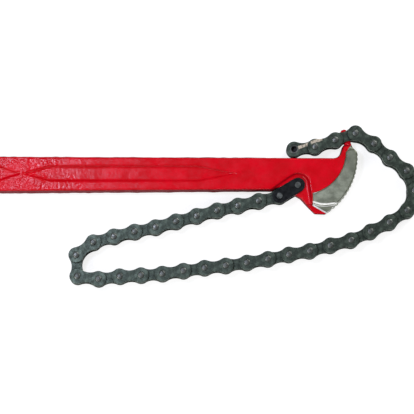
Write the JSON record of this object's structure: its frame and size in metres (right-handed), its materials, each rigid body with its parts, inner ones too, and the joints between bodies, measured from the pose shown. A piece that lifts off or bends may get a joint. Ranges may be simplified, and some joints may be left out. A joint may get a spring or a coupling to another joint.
{
  "type": "chain oil filter wrench",
  "caption": "Forged handle with a toothed convex jaw and a pivoted roller chain that hooks over a horn to grip a round canister.",
  "frame": {"origin": "centre of the hanging hole, on the parting plane of the forging", "axes": "+X along the shank towards the jaw, +Y towards the horn's side, +Z out of the face seen in the picture, along the chain's pins"},
  "size_m": [0.2739, 0.0965, 0.0126],
  "materials": {
    "red_paint": "gloss",
    "black_steel": "satin",
    "chain_steel": "satin"
  },
  "bodies": {
    "handle": {"handle_forging": "red_paint"},
    "chain_00": {"anchor_near_plate": "black_steel", "anchor_far_plate": "black_steel", "anchor_pivot_pin": "black_steel", "anchor_chain_pin": "black_steel"},
    "chain_01": {"inner_link_01": "chain_steel"},
    "chain_02": {"outer_link_02": "chain_steel"},
    "chain_03": {"inner_link_03": "chain_steel"},
    "chain_04": {"outer_link_04": "chain_steel"},
    "chain_05": {"inner_link_05": "chain_steel"},
    "chain_06": {"outer_link_06": "chain_steel"},
    "chain_07": {"inner_link_07": "chain_steel"},
    "chain_08": {"outer_link_08": "chain_steel"},
    "chain_09": {"inner_link_09": "chain_steel"},
    "chain_10": {"outer_link_10": "chain_steel"},
    "chain_11": {"inner_link_11": "chain_steel"},
    "chain_12": {"outer_link_12": "chain_steel"},
    "chain_13": {"inner_link_13": "chain_steel"},
    "chain_14": {"outer_link_14": "chain_steel"},
    "chain_15": {"inner_link_15": "chain_steel"},
    "chain_16": {"outer_link_16": "chain_steel"},
    "chain_17": {"inner_link_17": "chain_steel"},
    "chain_18": {"outer_link_18": "chain_steel"},
    "chain_19": {"inner_link_19": "chain_steel"},
    "chain_20": {"outer_link_20": "chain_steel"},
    "chain_21": {"inner_link_21": "chain_steel"},
    "chain_22": {"outer_link_22": "chain_steel"},
    "chain_23": {"inner_link_23": "chain_steel"},
    "chain_24": {"outer_link_24": "chain_steel"},
    "chain_25": {"inner_link_25": "chain_steel"},
    "chain_26": {"outer_link_26": "chain_steel"},
    "chain_27": {"inner_link_27": "chain_steel"},
    "chain_28": {"outer_link_28": "chain_steel"},
    "chain_29": {"inner_link_29": "chain_steel"},
    "chain_30": {"outer_link_30": "chain_steel"},
    "chain_31": {"inner_link_31": "chain_steel"},
    "chain_32": {"outer_link_32": "chain_steel"},
    "chain_33": {"inner_link_33": "chain_steel"},
    "chain_34": {"outer_link_34": "chain_steel"},
    "chain_35": {"inner_link_35": "chain_steel"}
  },
  "joints": [
    {"name": "hinge_00", "type": "hinge", "parent": "handle", "child": "chain_00", "pos_m": [0.1885, -0.0068, 0], "axis": [0, 0, 1], "range_deg": [0, 4.02]},
    {"name": "hinge_01", "type": "hinge", "parent": "chain_00", "child": "chain_01", "pos_m": [0.17761, -0.01334, 0], "axis": [0, 0, 1], "range_deg": [0, 2.96]},
    {"name": "hinge_02", "type": "hinge", "parent": "chain_01", "child": "chain_02", "pos_m": [0.16524, -0.0162, 0], "axis": [0, 0, 1], "range_deg": [0, 2.2]},
    {"name": "hinge_03", "type": "hinge", "parent": "chain_02", "child": "chain_03", "pos_m": [0.15287, -0.01905, 0], "axis": [0, 0, 1], "range_deg": [0, 1.19]},
    {"name": "hinge_04", "type": "hinge", "parent": "chain_03", "child": "chain_04", "pos_m": [0.14049, -0.02191, 0], "axis": [0, 0, 1], "range_deg": [-0.8, 0]},
    {"name": "hinge_05", "type": "hinge", "parent": "chain_04", "child": "chain_05", "pos_m": [0.12822, -0.0252, 0], "axis": [0, 0, 1], "range_deg": [-0.95, 0]},
    {"name": "hinge_06", "type": "hinge", "parent": "chain_05", "child": "chain_06", "pos_m": [0.11596, -0.02849, 0], "axis": [0, 0, 1], "range_deg": [-1.89, 0]},
    {"name": "hinge_07", "type": "hinge", "parent": "chain_06", "child": "chain_07", "pos_m": [0.10375, -0.03199, 0], "axis": [0, 0, 1], "range_deg": [-2.63, 0]},
    {"name": "hinge_08", "type": "hinge", "parent": "chain_07", "child": "chain_08", "pos_m": [0.09133, -0.03463, 0], "axis": [0, 0, 1], "range_deg": [-2.81, 0]},
    {"name": "hinge_09", "type": "hinge", "parent": "chain_08", "child": "chain_09", "pos_m": [0.07895, -0.03748, 0], "axis": [0, 0, 1], "range_deg": [-2.38, 0]},
    {"name": "hinge_10", "type": "hinge", "parent": "chain_09", "child": "chain_10", "pos_m": [0.06674, -0.04098, 0], "axis": [0, 0, 1], "range_deg": [-1.63, 0]},
    {"name": "hinge_11", "type": "hinge", "parent": "chain_10", "child": "chain_11", "pos_m": [0.0566, -0.04863, 0], "axis": [0, 0, 1], "range_deg": [-3.45, 0]},
    {"name": "hinge_12", "type": "hinge", "parent": "chain_11", "child": "chain_12", "pos_m": [0.05727, -0.06131, 0], "axis": [0, 0, 1], "range_deg": [0, 3.27]},
    {"name": "hinge_13", "type": "hinge", "parent": "chain_12", "child": "chain_13", "pos_m": [0.06987, -0.06286, 0], "axis": [0, 0, 1], "range_deg": [0, 4.09]},
    {"name": "hinge_14", "type": "hinge", "parent": "chain_13", "child": "chain_14", "pos_m": [0.08248, -0.06131, 0], "axis": [0, 0, 1], "range_deg": [0, 3.02]},
    {"name": "hinge_15", "type": "hinge", "parent": "chain_14", "child": "chain_15", "pos_m": [0.09516, -0.06064, 0], "axis": [0, 0, 1], "range_deg": [0, 3.06]},
    {"name": "hinge_16", "type": "hinge", "parent": "chain_15", "child": "chain_16", "pos_m": [0.10783, -0.05976, 0], "axis": [0, 0, 1], "range_deg": [0, 2.84]},
    {"name": "hinge_17", "type": "hinge", "parent": "chain_16", "child": "chain_17", "pos_m": [0.1204, -0.05799, 0], "axis": [0, 0, 1], "range_deg": [0, 1.13]},
    {"name": "hinge_18", "type": "hinge", "parent": "chain_17", "child": "chain_18", "pos_m": [0.13298, -0.05622, 0], "axis": [0, 0, 1], "range_deg": [-0.8, 0]},
    {"name": "hinge_19", "type": "hinge", "parent": "chain_18", "child": "chain_19", "pos_m": [0.14561, -0.0549, 0], "axis": [0, 0, 1], "range_deg": [-1.87, 0]},
    {"name": "hinge_20", "type": "hinge", "parent": "chain_19", "child": "chain_20", "pos_m": [0.15819, -0.05313, 0], "axis": [0, 0, 1], "range_deg": [-3.39, 0]},
    {"name": "hinge_21", "type": "hinge", "parent": "chain_20", "child": "chain_21", "pos_m": [0.17069, -0.05092, 0], "axis": [0, 0, 1], "range_deg": [-5.18, 0]},
    {"name": "hinge_22", "type": "hinge", "parent": "chain_21", "child": "chain_22", "pos_m": [0.18312, -0.04828, 0], "axis": [0, 0, 1], "range_deg": [0, 5.92]},
    {"name": "hinge_23", "type": "hinge", "parent": "chain_22", "child": "chain_23", "pos_m": [0.19562, -0.04608, 0], "axis": [0, 0, 1], "range_deg": [0, 1.57]},
    {"name": "hinge_24", "type": "hinge", "parent": "chain_23", "child": "chain_24", "pos_m": [0.20789, -0.04279, 0], "axis": [0, 0, 1], "range_deg": [-0.8, 0]},
    {"name": "hinge_25", "type": "hinge", "parent": "chain_24", "child": "chain_25", "pos_m": [0.22021, -0.03972, 0], "axis": [0, 0, 1], "range_deg": [0, 0.8]},
    {"name": "hinge_26", "type": "hinge", "parent": "chain_25", "child": "chain_26", "pos_m": [0.23182, -0.03455, 0], "axis": [0, 0, 1], "range_deg": [0, 0.8]},
    {"name": "hinge_27", "type": "hinge", "parent": "chain_26", "child": "chain_27", "pos_m": [0.24323, -0.02899, 0], "axis": [0, 0, 1], "range_deg": [-0.82, 0]},
    {"name": "hinge_28", "type": "hinge", "parent": "chain_27", "child": "chain_28", "pos_m": [0.25376, -0.02188, 0], "axis": [0, 0, 1], "range_deg": [-1.15, 0]},
    {"name": "hinge_29", "type": "hinge", "parent": "chain_28", "child": "chain_29", "pos_m": [0.25831, -0.01003, 0], "axis": [0, 0, 1], "range_deg": [-3.17, 0]},
    {"name": "hinge_30", "type": "hinge", "parent": "chain_29", "child": "chain_30", "pos_m": [0.25355, 0.00175, 0], "axis": [0, 0, 1], "range_deg": [-5.81, 0]},
    {"name": "hinge_31", "type": "hinge", "parent": "chain_30", "child": "chain_31", "pos_m": [0.24368, 0.00974, 0], "axis": [0, 0, 1], "range_deg": [-2.63, 0]},
    {"name": "hinge_32", "type": "hinge", "parent": "chain_31", "child": "chain_32", "pos_m": [0.2341, 0.01807, 0], "axis": [0, 0, 1], "range_deg": [-1.22, 0]},
    {"name": "hinge_33", "type": "hinge", "parent": "chain_32", "child": "chain_33", "pos_m": [0.2231, 0.02442, 0], "axis": [0, 0, 1], "range_deg": [0, 6.49]},
    {"name": "hinge_34", "type": "hinge", "parent": "chain_33", "child": "chain_34", "pos_m": [0.21109, 0.02029, 0], "axis": [0, 0, 1], "range_deg": [-95, 0]},
    {"name": "hinge_35", "type": "hinge", "parent": "chain_34", "child": "chain_35", "pos_m": [0.19901, 0.01636, 0], "axis": [0, 0, 1], "range_deg": [-75, 0]}
  ],
  "couplings": [
    {"joint": "hinge_01", "follows": "hinge_00", "ratio": 0.734},
    {"joint": "hinge_02", "follows": "hinge_00", "ratio": 0.547},
    {"joint": "hinge_03", "follows": "hinge_00", "ratio": 0.294},
    {"joint": "hinge_04", "follows": "hinge_00", "ratio": -0.199},
    {"joint": "hinge_05", "follows": "hinge_00", "ratio": -0.236},
    {"joint": "hinge_06", "follows": "hinge_00", "ratio": -0.468},
    {"joint": "hinge_07", "follows": "hinge_00", "ratio": -0.652},
    {"joint": "hinge_08", "follows": "hinge_00", "ratio": -0.699},
    {"joint": "hinge_09", "follows": "hinge_00", "ratio": -0.592},
    {"joint": "hinge_10", "follows": "hinge_00", "ratio": -0.403},
    {"joint": "hinge_11", "follows": "hinge_00", "ratio": -0.858},
    {"joint": "hinge_12", "follows": "hinge_00", "ratio": 0.813},
    {"joint": "hinge_13", "follows": "hinge_00", "ratio": 1.015},
    {"joint": "hinge_14", "follows": "hinge_00", "ratio": 0.751},
    {"joint": "hinge_15", "follows": "hinge_00", "ratio": 0.761},
    {"joint": "hinge_16", "follows": "hinge_00", "ratio": 0.706},
    {"joint": "hinge_17", "follows": "hinge_00", "ratio": 0.279},
    {"joint": "hinge_18", "follows": "hinge_00", "ratio": -0.199},
    {"joint": "hinge_19", "follows": "hinge_00", "ratio": -0.463},
    {"joint": "hinge_20", "follows": "hinge_00", "ratio": -0.843},
    {"joint": "hinge_21", "follows": "hinge_00", "ratio": -1.288},
    {"joint": "hinge_23", "follows": "hinge_22", "ratio": 0.265},
    {"joint": "hinge_24", "follows": "hinge_22", "ratio": -0.135},
    {"joint": "hinge_25", "follows": "hinge_22", "ratio": 0.135},
    {"joint": "hinge_26", "follows": "hinge_22", "ratio": 0.135},
    {"joint": "hinge_27", "follows": "hinge_22", "ratio": -0.137},
    {"joint": "hinge_28", "follows": "hinge_22", "ratio": -0.193},
    {"joint": "hinge_29", "follows": "hinge_22", "ratio": -0.535},
    {"joint": "hinge_30", "follows": "hinge_22", "ratio": -0.981},
    {"joint": "hinge_31", "follows": "hinge_22", "ratio": -0.443},
    {"joint": "hinge_32", "follows": "hinge_22", "ratio": -0.206},
    {"joint": "hinge_33", "follows": "hinge_22", "ratio": 1.095}
  ]
}
